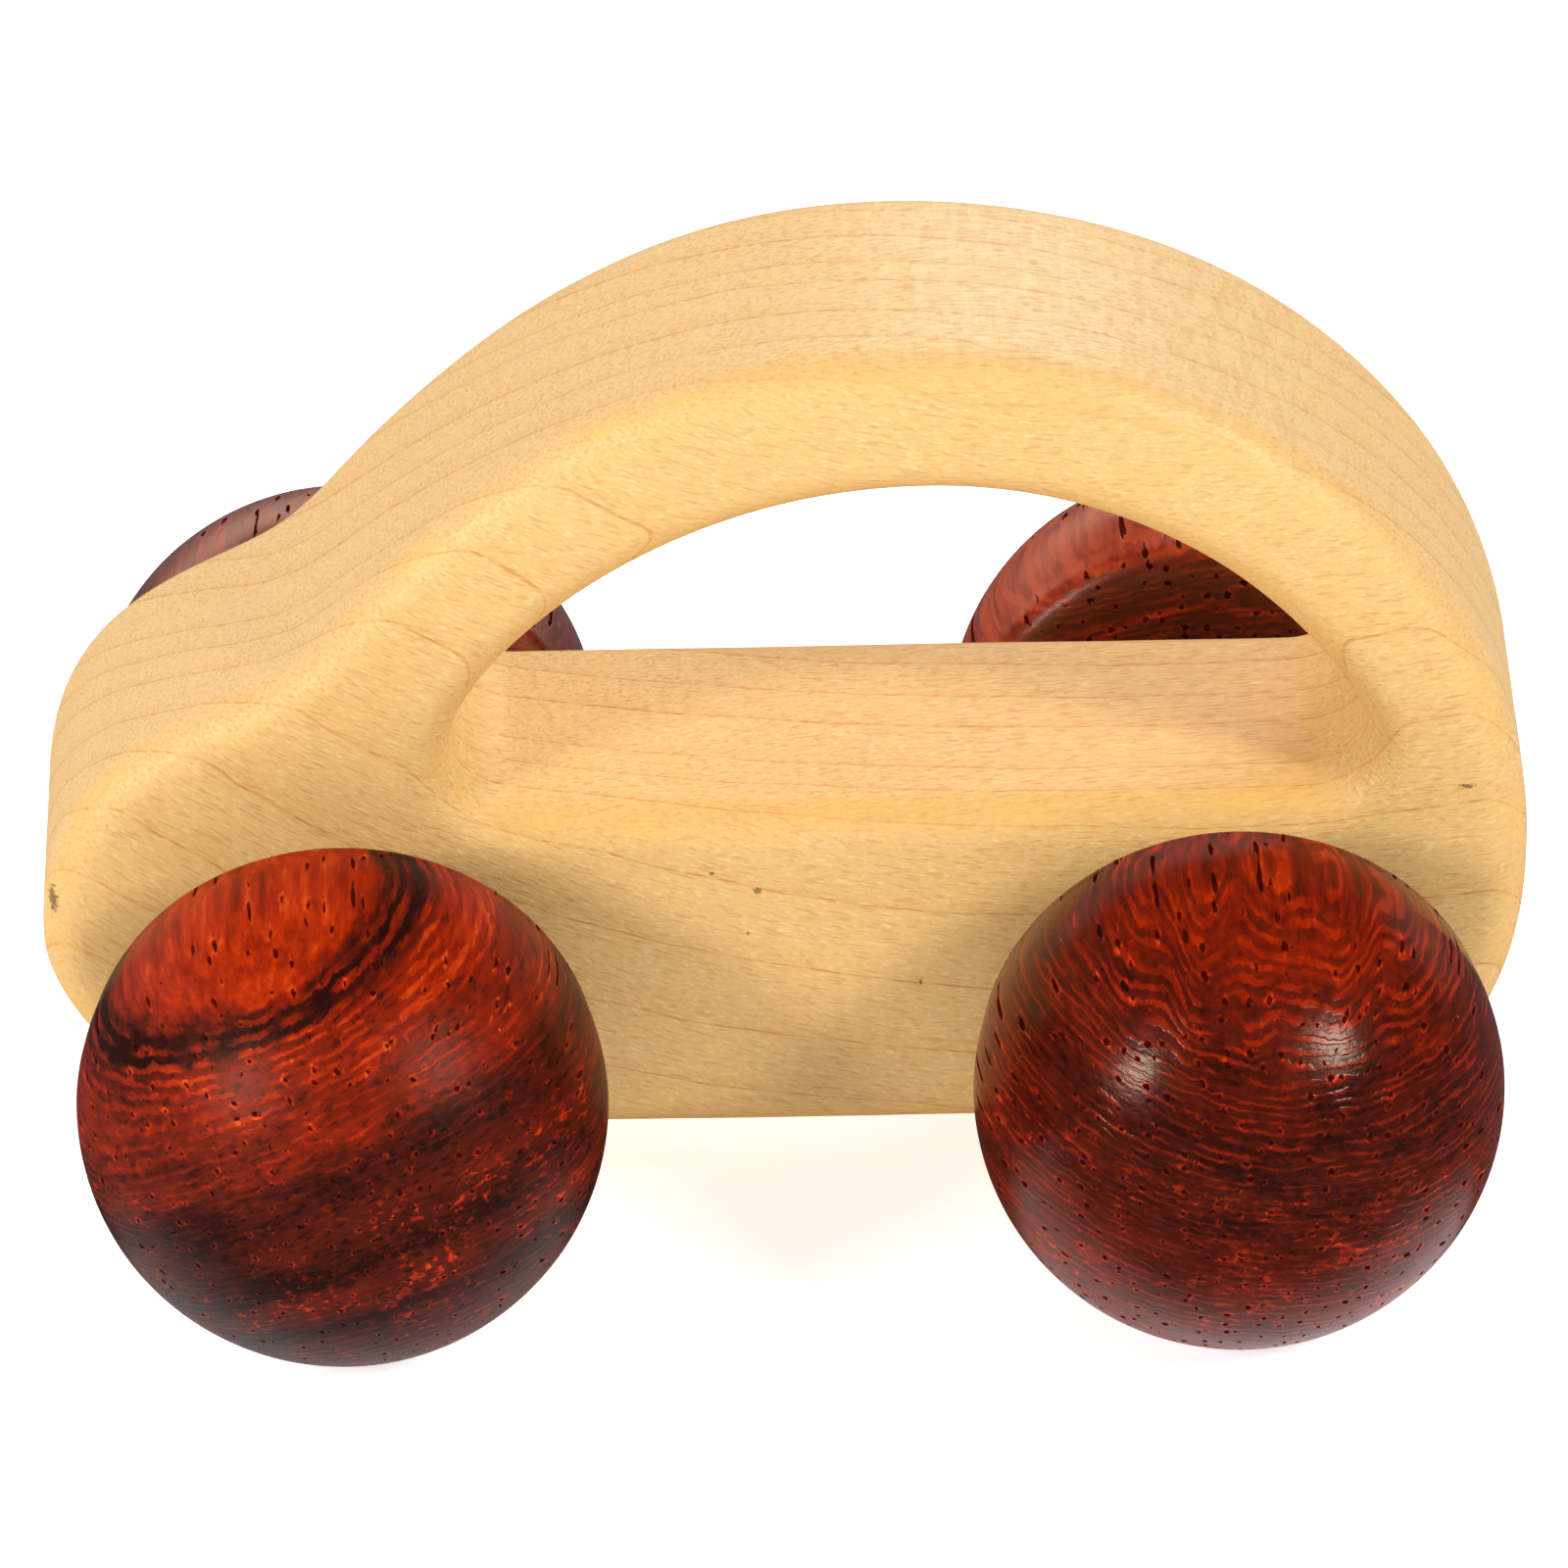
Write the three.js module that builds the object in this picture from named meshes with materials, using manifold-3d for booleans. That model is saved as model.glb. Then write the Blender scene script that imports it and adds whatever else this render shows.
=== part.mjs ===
// Wooden roller massager: a car-shaped hand grip that rides on two turning wheelsets.
//
// Frame, in millimetres: the origin is on the ground midway between the two axles. The nose points
// to -X, the tail to +X, the left-hand rollers stand towards -Y, and +Z is up.

import * as THREE from 'three';
import { mergeVertices } from 'three/addons/utils/BufferGeometryUtils.js';
import Module from 'manifold-3d';

const wasm = await Module();
wasm.setup();

// Rollers: a flat inner face, a rounded inner edge, a short band and a domed outer end.
const ROLLER_RADIUS = 22.75;
const BAND_INNER_RADIUS = 22.05;
const BAND_WIDTH = 7.5;
const DOME_HEIGHT = 22;
const INNER_EDGE_ROUND = 2.4;
const ROLLER_SEGMENTS = 40;

// Where the wheelsets stand: axle spacing, and the distance from mid-plane to a roller's inner face.
const WHEELBASE = 76.6;
const ROLLER_OFFSET = 23.5;
const AXLE_HEIGHT = ROLLER_RADIUS;

// Axles and spacers.
const AXLE_RADIUS = 4;
const AXLE_CHAMFER = 0.8;
const ROLLER_BORE_DEPTH = 14;
const SPACER_RADIUS = 7.5;
const SPACER_CHAMFER = 0.6;
const ROUND_SEGMENTS = 28;

// Play between pieces that touch or turn in one another.
const RUNNING_GAP = 0.4;
const SEATED_GAP = 0.3;

// Handle body: one board, its outline given by the stations that the curves run through.
const BODY_THICKNESS = 32;
const EDGE_ROUND = 4;
const UNDERSIDE = 9.4;
const NOSE_X = -64.1;
const NOSE_HEIGHT = 29.2;
const TAIL_X = 64.1;
const TAIL_HEIGHT = 35.8;
const ROOF_X = 10;
const ROOF_HEIGHT = 85.7;
const HOOD_END = [-43.6, 54.8];
const HOOD_CORNER = [-41.4, 56.4];
const SCREEN_START = [-39.6, 58.5];

// Grip window: a flat floor under an arch.
const FLOOR_HEIGHT = 41.7;
const WINDOW_FRONT_X = -28.7;
const WINDOW_REAR_X = 50.1;
const WINDOW_TOP_X = 12;
const WINDOW_TOP_HEIGHT = 72;
const WINDOW_CORNER = 5.5;

const CURVE_SEGMENTS = 14;
const EDGE_SEGMENTS = 4;

const paleWood = new THREE.MeshStandardMaterial({ color: 0xe6c48c, roughness: 0.55, metalness: 0 });
const redWood = new THREE.MeshStandardMaterial({ color: 0x6e1c0c, roughness: 0.38, metalness: 0 });
const dowelWood = new THREE.MeshStandardMaterial({ color: 0xd9b47a, roughness: 0.6, metalness: 0 });

// A closed three.js geometry as a manifold solid.
function solidOf(geometry) {
  const bare = geometry.clone();
  bare.deleteAttribute('normal');
  bare.deleteAttribute('uv');
  const welded = mergeVertices(bare, 1e-4);
  return new wasm.Manifold(new wasm.Mesh({
    numProp: 3,
    vertProperties: new Float32Array(welded.attributes.position.array),
    triVerts: new Uint32Array(welded.index.array),
  }));
}

// A manifold solid as a three.js geometry.
function geometryOf(solid) {
  const mesh = solid.getMesh();
  const geometry = new THREE.BufferGeometry();
  geometry.setAttribute('position', new THREE.BufferAttribute(mesh.vertProperties, 3));
  geometry.setIndex(new THREE.BufferAttribute(mesh.triVerts, 1));
  geometry.computeVertexNormals();
  return geometry;
}

function mesh(name, geometry, material) {
  const piece = new THREE.Mesh(geometry, material);
  piece.name = name;
  return piece;
}

// The side view of the handle, clockwise from the front end of the flat underside.
function bodyOutline() {
  const outline = new THREE.Shape();
  outline.moveTo(-42, UNDERSIDE);
  outline.bezierCurveTo(-53.3, UNDERSIDE, NOSE_X, NOSE_HEIGHT - 8, NOSE_X, NOSE_HEIGHT);
  outline.bezierCurveTo(NOSE_X, 48.4, -50, 50.3, ...HOOD_END);
  outline.quadraticCurveTo(...HOOD_CORNER, ...SCREEN_START);
  outline.bezierCurveTo(-27, 73.6, -12, ROOF_HEIGHT, ROOF_X, ROOF_HEIGHT);
  outline.bezierCurveTo(42.5, ROOF_HEIGHT, TAIL_X, TAIL_HEIGHT + 26.5, TAIL_X, TAIL_HEIGHT);
  outline.bezierCurveTo(TAIL_X, TAIL_HEIGHT - 18.8, 55, UNDERSIDE, 44, UNDERSIDE);
  outline.closePath();
  return outline;
}

// The half-moon opening that the fingers go through.
function gripWindow() {
  const window = new THREE.Path();
  const floorFrontX = WINDOW_FRONT_X + WINDOW_CORNER;
  const floorRearX = WINDOW_REAR_X - WINDOW_CORNER;
  const cornerHeight = FLOOR_HEIGHT + WINDOW_CORNER;
  window.moveTo(floorFrontX, FLOOR_HEIGHT);
  window.lineTo(floorRearX, FLOOR_HEIGHT);
  window.absarc(floorRearX, cornerHeight, WINDOW_CORNER, -Math.PI / 2, 0, false);
  window.bezierCurveTo(
    WINDOW_REAR_X, cornerHeight + 4, 37.3, WINDOW_TOP_HEIGHT, WINDOW_TOP_X, WINDOW_TOP_HEIGHT);
  window.bezierCurveTo(
    -11.3, WINDOW_TOP_HEIGHT, WINDOW_FRONT_X, cornerHeight + 7.2, WINDOW_FRONT_X, cornerHeight);
  window.absarc(floorFrontX, cornerHeight, WINDOW_CORNER, Math.PI, 1.5 * Math.PI, false);
  return window;
}

// The board with its edges rounded over, bored across for the two axles.
function handleBody() {
  const outline = bodyOutline();
  outline.holes.push(gripWindow());
  const board = new THREE.ExtrudeGeometry(outline, {
    depth: BODY_THICKNESS - 2 * EDGE_ROUND,
    bevelEnabled: true,
    bevelThickness: EDGE_ROUND,
    bevelSize: EDGE_ROUND,
    bevelOffset: -EDGE_ROUND,
    bevelSegments: EDGE_SEGMENTS,
    curveSegments: CURVE_SEGMENTS,
  });
  board.rotateX(Math.PI / 2);
  board.translate(0, BODY_THICKNESS / 2 - EDGE_ROUND, 0);
  let body = solidOf(board);
  for (const x of [-WHEELBASE / 2, WHEELBASE / 2]) {
    const bore = new THREE.CylinderGeometry(
      AXLE_RADIUS + RUNNING_GAP, AXLE_RADIUS + RUNNING_GAP, 2 * BODY_THICKNESS, ROUND_SEGMENTS);
    bore.translate(x, 0, AXLE_HEIGHT);
    body = body.subtract(solidOf(bore));
  }
  return mesh('handle_body', geometryOf(body), paleWood);
}

// A roller turned about Y, its flat inner face at y = 0 and its dome towards +Y.
function rollerGeometry() {
  const boreRadius = AXLE_RADIUS + SEATED_GAP;
  const profile = [
    new THREE.Vector2(0, ROLLER_BORE_DEPTH),
    new THREE.Vector2(boreRadius, ROLLER_BORE_DEPTH),
    new THREE.Vector2(boreRadius, 0),
  ];
  const edgeSteps = 4;
  for (let i = 0; i <= edgeSteps; i += 1) {
    const turn = (i / edgeSteps) * (Math.PI / 2);
    profile.push(new THREE.Vector2(
      BAND_INNER_RADIUS - INNER_EDGE_ROUND * (1 - Math.sin(turn)),
      INNER_EDGE_ROUND * (1 - Math.cos(turn))));
  }
  profile.push(new THREE.Vector2((BAND_INNER_RADIUS + 2 * ROLLER_RADIUS) / 3, BAND_WIDTH * 0.65));
  const domeSteps = 10;
  for (let i = 0; i <= domeSteps; i += 1) {
    const turn = (i / domeSteps) * (Math.PI / 2);
    const radius = i === domeSteps ? 0 : ROLLER_RADIUS * Math.cos(turn);
    profile.push(new THREE.Vector2(radius, BAND_WIDTH + DOME_HEIGHT * Math.sin(turn)));
  }
  return new THREE.LatheGeometry(profile, ROLLER_SEGMENTS);
}

// A dowel turned about Y with chamfered ends, centred on the mid-plane.
function axleGeometry() {
  const halfLength = ROLLER_OFFSET + ROLLER_BORE_DEPTH - SEATED_GAP;
  const tip = AXLE_RADIUS - AXLE_CHAMFER;
  return new THREE.LatheGeometry([
    new THREE.Vector2(0, -halfLength),
    new THREE.Vector2(tip, -halfLength),
    new THREE.Vector2(AXLE_RADIUS, AXLE_CHAMFER - halfLength),
    new THREE.Vector2(AXLE_RADIUS, halfLength - AXLE_CHAMFER),
    new THREE.Vector2(tip, halfLength),
    new THREE.Vector2(0, halfLength),
  ], ROUND_SEGMENTS);
}

// A ring turned about Y that fills the space between the handle's side and a roller.
function spacerGeometry() {
  const near = BODY_THICKNESS / 2 + RUNNING_GAP;
  const far = ROLLER_OFFSET - SEATED_GAP;
  const inner = AXLE_RADIUS + SEATED_GAP;
  return new THREE.LatheGeometry([
    new THREE.Vector2(inner, near),
    new THREE.Vector2(SPACER_RADIUS - SPACER_CHAMFER, near),
    new THREE.Vector2(SPACER_RADIUS, near + SPACER_CHAMFER),
    new THREE.Vector2(SPACER_RADIUS, far - SPACER_CHAMFER),
    new THREE.Vector2(SPACER_RADIUS - SPACER_CHAMFER, far),
    new THREE.Vector2(inner, far),
    new THREE.Vector2(inner, near),
  ], ROUND_SEGMENTS);
}

// One axle with a spacer and a roller at each end. The pieces on the left are the right-hand ones
// turned half round.
function wheelset(end, x) {
  const set = new THREE.Group();
  set.position.set(x, 0, AXLE_HEIGHT);
  set.add(mesh(`${end}_axle`, axleGeometry(), dowelWood));
  for (const [side, turn] of [['right', 0], ['left', Math.PI]]) {
    const half = new THREE.Group();
    half.rotation.z = turn;
    const roller = mesh(`${end}_${side}_roller`, rollerGeometry(), redWood);
    roller.position.y = ROLLER_OFFSET;
    half.add(roller);
    half.add(mesh(`${end}_${side}_spacer`, spacerGeometry(), dowelWood));
    set.add(half);
  }
  return set;
}

const massager = new THREE.Group();
massager.add(handleBody());
massager.add(wheelset('front', -WHEELBASE / 2));
massager.add(wheelset('rear', WHEELBASE / 2));

export default massager;
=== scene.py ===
"""Looks of the wooden roller massager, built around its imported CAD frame.

The handle is one board of pale, fine-grained wood. It rides on two wheelsets, each a pale dowel
axle with a ring and a dark red wooden roller at either end. Lengths are in millimetres until the
meshes and lamps are made, which are in metres. Front is -X, the camera stands towards -Y.
"""

import math

import bmesh
import bpy
import numpy as np
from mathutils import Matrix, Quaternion, Vector, noise
from mathutils.geometry import delaunay_2d_cdt


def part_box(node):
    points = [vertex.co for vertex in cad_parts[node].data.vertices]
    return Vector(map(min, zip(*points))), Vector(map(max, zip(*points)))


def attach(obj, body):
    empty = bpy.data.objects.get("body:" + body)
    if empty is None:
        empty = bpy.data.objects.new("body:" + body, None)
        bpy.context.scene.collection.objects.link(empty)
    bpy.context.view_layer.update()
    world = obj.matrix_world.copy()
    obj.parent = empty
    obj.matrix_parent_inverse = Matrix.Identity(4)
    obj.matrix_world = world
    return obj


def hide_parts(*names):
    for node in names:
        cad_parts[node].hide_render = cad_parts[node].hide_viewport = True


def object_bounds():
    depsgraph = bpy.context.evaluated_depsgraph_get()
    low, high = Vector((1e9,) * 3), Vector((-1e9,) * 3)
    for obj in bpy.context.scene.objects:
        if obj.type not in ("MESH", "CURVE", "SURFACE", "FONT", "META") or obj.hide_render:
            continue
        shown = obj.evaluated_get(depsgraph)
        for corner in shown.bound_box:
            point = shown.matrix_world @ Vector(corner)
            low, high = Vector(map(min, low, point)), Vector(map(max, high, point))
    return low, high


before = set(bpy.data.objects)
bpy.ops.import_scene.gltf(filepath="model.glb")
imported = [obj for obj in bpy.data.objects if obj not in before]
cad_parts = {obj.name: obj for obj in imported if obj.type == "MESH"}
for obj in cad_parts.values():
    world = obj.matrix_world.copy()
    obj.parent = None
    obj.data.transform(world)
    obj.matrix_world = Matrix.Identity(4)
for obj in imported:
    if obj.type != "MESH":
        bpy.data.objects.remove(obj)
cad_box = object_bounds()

MM = 0.001
SHARP_ANGLE = math.radians(38)

# Handle: what the frame's box doesn't say.
EDGE_ROUND = 4.0
FLOOR_HEIGHT = 41.7
WINDOW_FRONT_X = -28.7
WINDOW_REAR_X = 50.1
WINDOW_TOP_HEIGHT = 72.0
WINDOW_CORNER = 5.5
BORE_RADIUS = 4.4
BORE_CHAMFER = 0.5
BORE_SEGMENTS = 64
OUTLINE_STEP = 0.7
FACE_GRID = 2.2
HANDLE_SANDING = 0.16
HANDLE_WAVES = 17.0

# Small dents on the left face: x, z, half width and half height of each.
BLEMISHES = [
    (-2.4, 34.1, 0.36, 0.26), (-6.4, 35.9, 0.18, 0.16), (11.6, 24.7, 0.16, 0.24),
    (58.5, 43.2, 0.6, 0.2), (-63.0, 33.6, 0.35, 1.1),
]

# Rollers: a flat inner face, a rounded inner edge, a short band and a domed outer end.
INNER_EDGE_ROUND = 2.4
BAND_INSET = 0.7
BAND_WIDTH = 7.5
ROLLER_BORE_RADIUS = 4.3
ROLLER_BORE_DEPTH = 14.0
ROLLER_BORE_CHAMFER = 0.4
ROLLER_SEGMENTS = 168
ROLLER_SANDING = 0.1
ROLLER_WAVES = 12.0

# Dowel axles and spacer rings.
AXLE_CHAMFER = 0.8
SPACER_CHAMFER = 0.6
SPACER_BORE_RADIUS = 4.3
DOWEL_SEGMENTS = 72
DOWEL_END = 4.0

# The photograph's viewpoint.
CAMERA_AZIMUTH = -1.1
CAMERA_ELEVATION = 30.5
CAMERA_ROLL = -0.5
CAMERA_DISTANCE = 1200.0
CAMERA_LENS = 317.0
CAMERA_ABOVE_AXLES = 12.59
CAMERA_BEHIND_MIDDLE = 0.23

# Studio, in metres. The floor lies a hair under the ground, so that nothing cuts it.
LAMP_DISTANCE = 0.9
FLOOR_REACH = 6.0
FLOOR_LEVEL = -0.00002


# Curves and meshes


def frame_box(node):
    """A CAD node's lowest and highest corners in millimetres."""
    low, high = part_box(node)
    return low / MM, high / MM


def bezier(*controls, count=160):
    """Points along a Bézier curve of any degree, without its last point."""
    t = np.linspace(0.0, 1.0, count, endpoint=False)[:, None]
    degree = len(controls) - 1
    terms = [
        math.comb(degree, i) * (1 - t) ** (degree - i) * t**i * np.array(point, float)
        for i, point in enumerate(controls)
    ]
    return sum(terms)


def arc(centre, radius, start, end, count=60):
    """Points round part of a circle, from start to end in degrees, without the last point."""
    turn = np.radians(np.linspace(start, end, count, endpoint=False))
    return np.array(centre) + radius * np.column_stack([np.cos(turn), np.sin(turn)])


def even_loop(curves, step):
    """One closed loop from joined curves, its points about step apart."""
    points = np.vstack(curves)
    closed = np.vstack([points, points[:1]])
    length = np.concatenate([[0], np.cumsum(np.hypot(*np.diff(closed, axis=0).T))])
    count = int(length[-1] / step)
    places = np.linspace(0, length[-1], count, endpoint=False)
    return np.column_stack([np.interp(places, length, closed[:, k]) for k in (0, 1)])


def outward(loop):
    """The unit normals of a closed loop, pointing away from what it encloses."""
    along = np.roll(loop, -1, axis=0) - np.roll(loop, 1, axis=0)
    normal = np.column_stack([along[:, 1], -along[:, 0]])
    normal /= np.linalg.norm(normal, axis=1)[:, None]
    ahead = np.roll(loop, -1, axis=0)
    area = np.sum(loop[:, 0] * ahead[:, 1] - ahead[:, 0] * loop[:, 1])
    return normal if area > 0 else -normal


def encloses(loop, points):
    """Which of the points lie inside a closed loop."""
    ahead = np.roll(loop, -1, axis=0)
    found = np.zeros(len(points), bool)
    for (x0, z0), (x1, z1) in zip(loop, ahead):
        if z0 == z1:
            continue
        crosses = (z0 > points[:, 1]) != (z1 > points[:, 1])
        edge_x = x0 + (points[:, 1] - z0) * (x1 - x0) / (z1 - z0)
        found ^= crosses & (points[:, 0] < edge_x)
    return found


class Shell:
    """The points and faces of one piece, gathered in millimetres."""

    def __init__(self):
        self.points = []
        self.faces = []

    def ring(self, points):
        """Adds points and returns their numbers."""
        first = len(self.points)
        self.points.extend(tuple(point) for point in points)
        return list(range(first, len(self.points)))

    def join(self, one, other):
        """Quads between two closed rings of equal length."""
        for i in range(len(one)):
            j = (i + 1) % len(one)
            self.faces.append((one[i], one[j], other[j], other[i]))

    def close(self, ring, tip):
        """A fan of triangles from a ring to one point."""
        (end,) = self.ring([tip])
        for i in range(len(ring)):
            self.faces.append((ring[i], ring[(i + 1) % len(ring)], end))

    def piece(self, name, material, sanding=0.0, waves=1.0):
        """The Blender object, smooth but for its sharp edges.

        Sanding takes up to that depth of wood off, unevenly, in waves about that long.
        """
        mesh = bpy.data.meshes.new(name)
        mesh.from_pydata(self.points, [], self.faces)
        shape = bmesh.new()
        shape.from_mesh(mesh)
        bmesh.ops.recalc_face_normals(shape, faces=shape.faces)
        shape.normal_update()
        if sanding:
            cuts = []
            for vertex in shape.verts:
                broad = 0.5 + 0.5 * noise.noise(vertex.co / waves)
                small = 0.5 + 0.5 * noise.noise(vertex.co / (waves / 3.3))
                cuts.append(sanding * (0.75 * broad + 0.25 * small))
            for vertex, cut in zip(shape.verts, cuts):
                vertex.co -= vertex.normal * cut
        for vertex in shape.verts:
            vertex.co *= MM
        shape.normal_update()
        shape.to_mesh(mesh)
        shape.free()
        mesh.shade_smooth()
        mesh.set_sharp_from_angle(angle=SHARP_ANGLE)
        mesh.materials.append(material)
        made = bpy.data.objects.new(name, mesh)
        bpy.context.scene.collection.objects.link(made)
        return made


def stand_for(piece, node, body):
    """The piece takes a CAD node's place and moves with its body."""
    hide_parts(node)
    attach(piece, body)


# Handle


def handle_outline():
    """The handle's side view as one loop of (x, z) points."""
    low, high = frame_box("handle_body")
    nose = (low.x, 29.2)
    tail = (high.x, 35.8)
    roof = (10, high.z)
    hood_end = (-43.6, 54.8)
    screen_start = (-39.6, 58.5)
    under_front = (-42, low.z)
    under_rear = (44, low.z)
    return even_loop(
        [
            bezier(under_front, (-53.3, low.z), (low.x, 21.2), nose),
            bezier(nose, (low.x, 48.4), (-50, 50.3), hood_end),
            bezier(hood_end, (-41.4, 56.4), screen_start),
            bezier(screen_start, (-27, 73.6), (-12, high.z), roof),
            bezier(roof, (42.5, high.z), (high.x, 62.3), tail),
            bezier(tail, (high.x, 17), (55, low.z), under_rear),
            bezier(under_rear, under_front),
        ],
        OUTLINE_STEP,
    )


def window_outline():
    """The grip window: a flat floor, two small corners and an arch."""
    front = WINDOW_FRONT_X + WINDOW_CORNER
    rear = WINDOW_REAR_X - WINDOW_CORNER
    height = FLOOR_HEIGHT + WINDOW_CORNER
    top = (12, WINDOW_TOP_HEIGHT)
    return even_loop(
        [
            bezier((front, FLOOR_HEIGHT), (rear, FLOOR_HEIGHT)),
            arc((rear, height), WINDOW_CORNER, -90, 0),
            bezier((WINDOW_REAR_X, height), (WINDOW_REAR_X, 51.2), (37.3, top[1]), top),
            bezier(top, (-11.3, top[1]), (WINDOW_FRONT_X, 54.4), (WINDOW_FRONT_X, height)),
            arc((front, height), WINDOW_CORNER, 180, 270),
        ],
        OUTLINE_STEP,
    )


def edge_profile(half_width):
    """(inset, y) from one face of the board over its rounded edges to the other face."""
    flat = half_width - EDGE_ROUND
    turns = np.linspace(0, math.pi / 2, 10)
    rounded = [(EDGE_ROUND * (1 - math.sin(a)), flat + EDGE_ROUND * math.cos(a)) for a in turns]
    left = [(inset, -y) for inset, y in rounded]
    wall = [(0.0, y) for y in np.linspace(-flat, flat, 15)[1:-1]]
    return left + wall + rounded[::-1]


def swept(shell, loop, into_wood, profile):
    """Rings of a loop moved into the wood as the profile says. Returns the two end rings."""
    rings = []
    for inset, y in profile:
        moved = loop + into_wood * inset
        rings.append(shell.ring((x, y, z) for x, z in moved))
    for one, other in zip(rings, rings[1:]):
        shell.join(one, other)
    return rings[0], rings[-1]


def face_of_board(shell, outer, holes, y):
    """Triangles over a flat face, between its outer ring and the rings of its holes."""
    rings = [outer] + holes
    numbers = [n for ring in rings for n in ring]
    flat = [np.array([(shell.points[n][0], shell.points[n][2]) for n in ring]) for ring in rings]
    edges = []
    start = 0
    for ring in rings:
        edges += [(start + i, start + (i + 1) % len(ring)) for i in range(len(ring))]
        start += len(ring)
    low, high = flat[0].min(axis=0), flat[0].max(axis=0)
    xs = np.arange(low[0], high[0], FACE_GRID)
    zs = np.arange(low[1], high[1], FACE_GRID)
    grid = np.array([(x + FACE_GRID / 2 * (row % 2), z) for row, z in enumerate(zs) for x in xs])
    keep = encloses(flat[0], grid)
    for loop in flat[1:]:
        keep &= ~encloses(loop, grid)
    rim = np.vstack(flat)
    clear = np.array([np.hypot(*(rim - point).T).min() > FACE_GRID * 0.55 for point in grid])
    inner = grid[keep & clear]
    numbers += shell.ring((x, y, z) for x, z in inner)
    flat_points = [Vector(point) for point in np.vstack([rim, inner])]
    faces = delaunay_2d_cdt(flat_points, edges, [], 0, 1e-6)[2]
    places = np.array([point[:] for point in flat_points])
    middles = np.array([places[list(face)].mean(axis=0) for face in faces])
    solid = encloses(flat[0], middles)
    for loop in flat[1:]:
        solid &= ~encloses(loop, middles)
    shell.faces += [tuple(numbers[i] for i in f) for f, inside in zip(faces, solid) if inside]


def circle(radius, x, z, count):
    """A closed loop of (x, z) points."""
    turn = np.linspace(0, 2 * math.pi, count, endpoint=False)
    return np.column_stack([x + radius * np.cos(turn), z + radius * np.sin(turn)])


def handle(material):
    """The board with its window, rounded edges and two axle bores."""
    half_width = frame_box("handle_body")[1].y
    shell = Shell()
    profile = edge_profile(half_width)
    outline = handle_outline()
    window = window_outline()
    left_rim, right_rim = swept(shell, outline, -outward(outline), profile)
    left_hole, right_hole = swept(shell, window, outward(window), profile)
    left_holes, right_holes = [left_hole], [right_hole]
    for node in ("front_axle", "rear_axle"):
        low, high = frame_box(node)
        middle = (low + high) / 2
        bore = circle(BORE_RADIUS, middle.x, middle.z, BORE_SEGMENTS)
        deep = half_width - BORE_CHAMFER
        bore_profile = [(BORE_CHAMFER, -half_width)]
        bore_profile += [(0.0, y) for y in np.linspace(-deep, deep, 12)]
        bore_profile += [(BORE_CHAMFER, half_width)]
        left_mouth, right_mouth = swept(shell, bore, outward(bore), bore_profile)
        left_holes.append(left_mouth)
        right_holes.append(right_mouth)
    face_of_board(shell, left_rim, left_holes, -half_width)
    face_of_board(shell, right_rim, right_holes, half_width)
    made = shell.piece("handle", material, HANDLE_SANDING, HANDLE_WAVES)
    stand_for(made, "handle_body", "handle")


# Turned pieces


def turned(shell, profile, centre, side, segments):
    """A profile of (radius, distance out from the mid-plane) turned about the axle line."""
    rings = []
    for radius, out in profile:
        loop = circle(radius, centre.x, centre.z, segments)
        rings.append(shell.ring((x, side * out, z) for x, z in loop))
    for one, other in zip(rings, rings[1:]):
        shell.join(one, other)
    return rings


def roller_profile(inner, radius, dome):
    """From the bore's blind end round the roller to just short of the dome's tip."""
    bore = ROLLER_BORE_RADIUS
    mouth = bore + ROLLER_BORE_CHAMFER
    profile = [(r, inner + ROLLER_BORE_DEPTH) for r in (bore / 2, bore)]
    wall = np.linspace(ROLLER_BORE_DEPTH - 2, ROLLER_BORE_CHAMFER, 6)
    profile += [(bore, inner + y) for y in wall]
    edge = radius - BAND_INSET
    profile += [(r, inner) for r in np.linspace(mouth, edge - INNER_EDGE_ROUND, 10)]
    for turn in np.linspace(0, math.pi / 2, 9)[1:]:
        drop = INNER_EDGE_ROUND * (1 - math.sin(turn))
        profile.append((edge - drop, inner + INNER_EDGE_ROUND * (1 - math.cos(turn))))
    for share in np.linspace(0, 1, 6)[1:]:
        swell = BAND_INSET * (1 - (1 - share) ** 1.6)
        out = INNER_EDGE_ROUND + share * (BAND_WIDTH - INNER_EDGE_ROUND)
        profile.append((edge + swell, inner + out))
    for turn in np.linspace(0, math.pi / 2, 64)[1:-1]:
        profile.append((radius * math.cos(turn), inner + BAND_WIDTH + dome * math.sin(turn)))
    return profile


def roller(node, body, material):
    """A solid roller with a blind bore for its axle."""
    low, high = frame_box(node)
    centre = (low + high) / 2
    side = math.copysign(1, centre.y)
    inner = min(abs(low.y), abs(high.y))
    outer = max(abs(low.y), abs(high.y))
    radius = (high.z - low.z) / 2
    shell = Shell()
    profile = roller_profile(inner, radius, outer - inner - BAND_WIDTH)
    rings = turned(shell, profile, centre, side, ROLLER_SEGMENTS)
    shell.close(rings[0], (centre.x, side * (inner + ROLLER_BORE_DEPTH), centre.z))
    shell.close(rings[-1], (centre.x, side * outer, centre.z))
    name = node.replace("roller", "wheel")
    made = shell.piece(name, material, ROLLER_SANDING, ROLLER_WAVES)
    stand_for(made, node, body)


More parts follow.
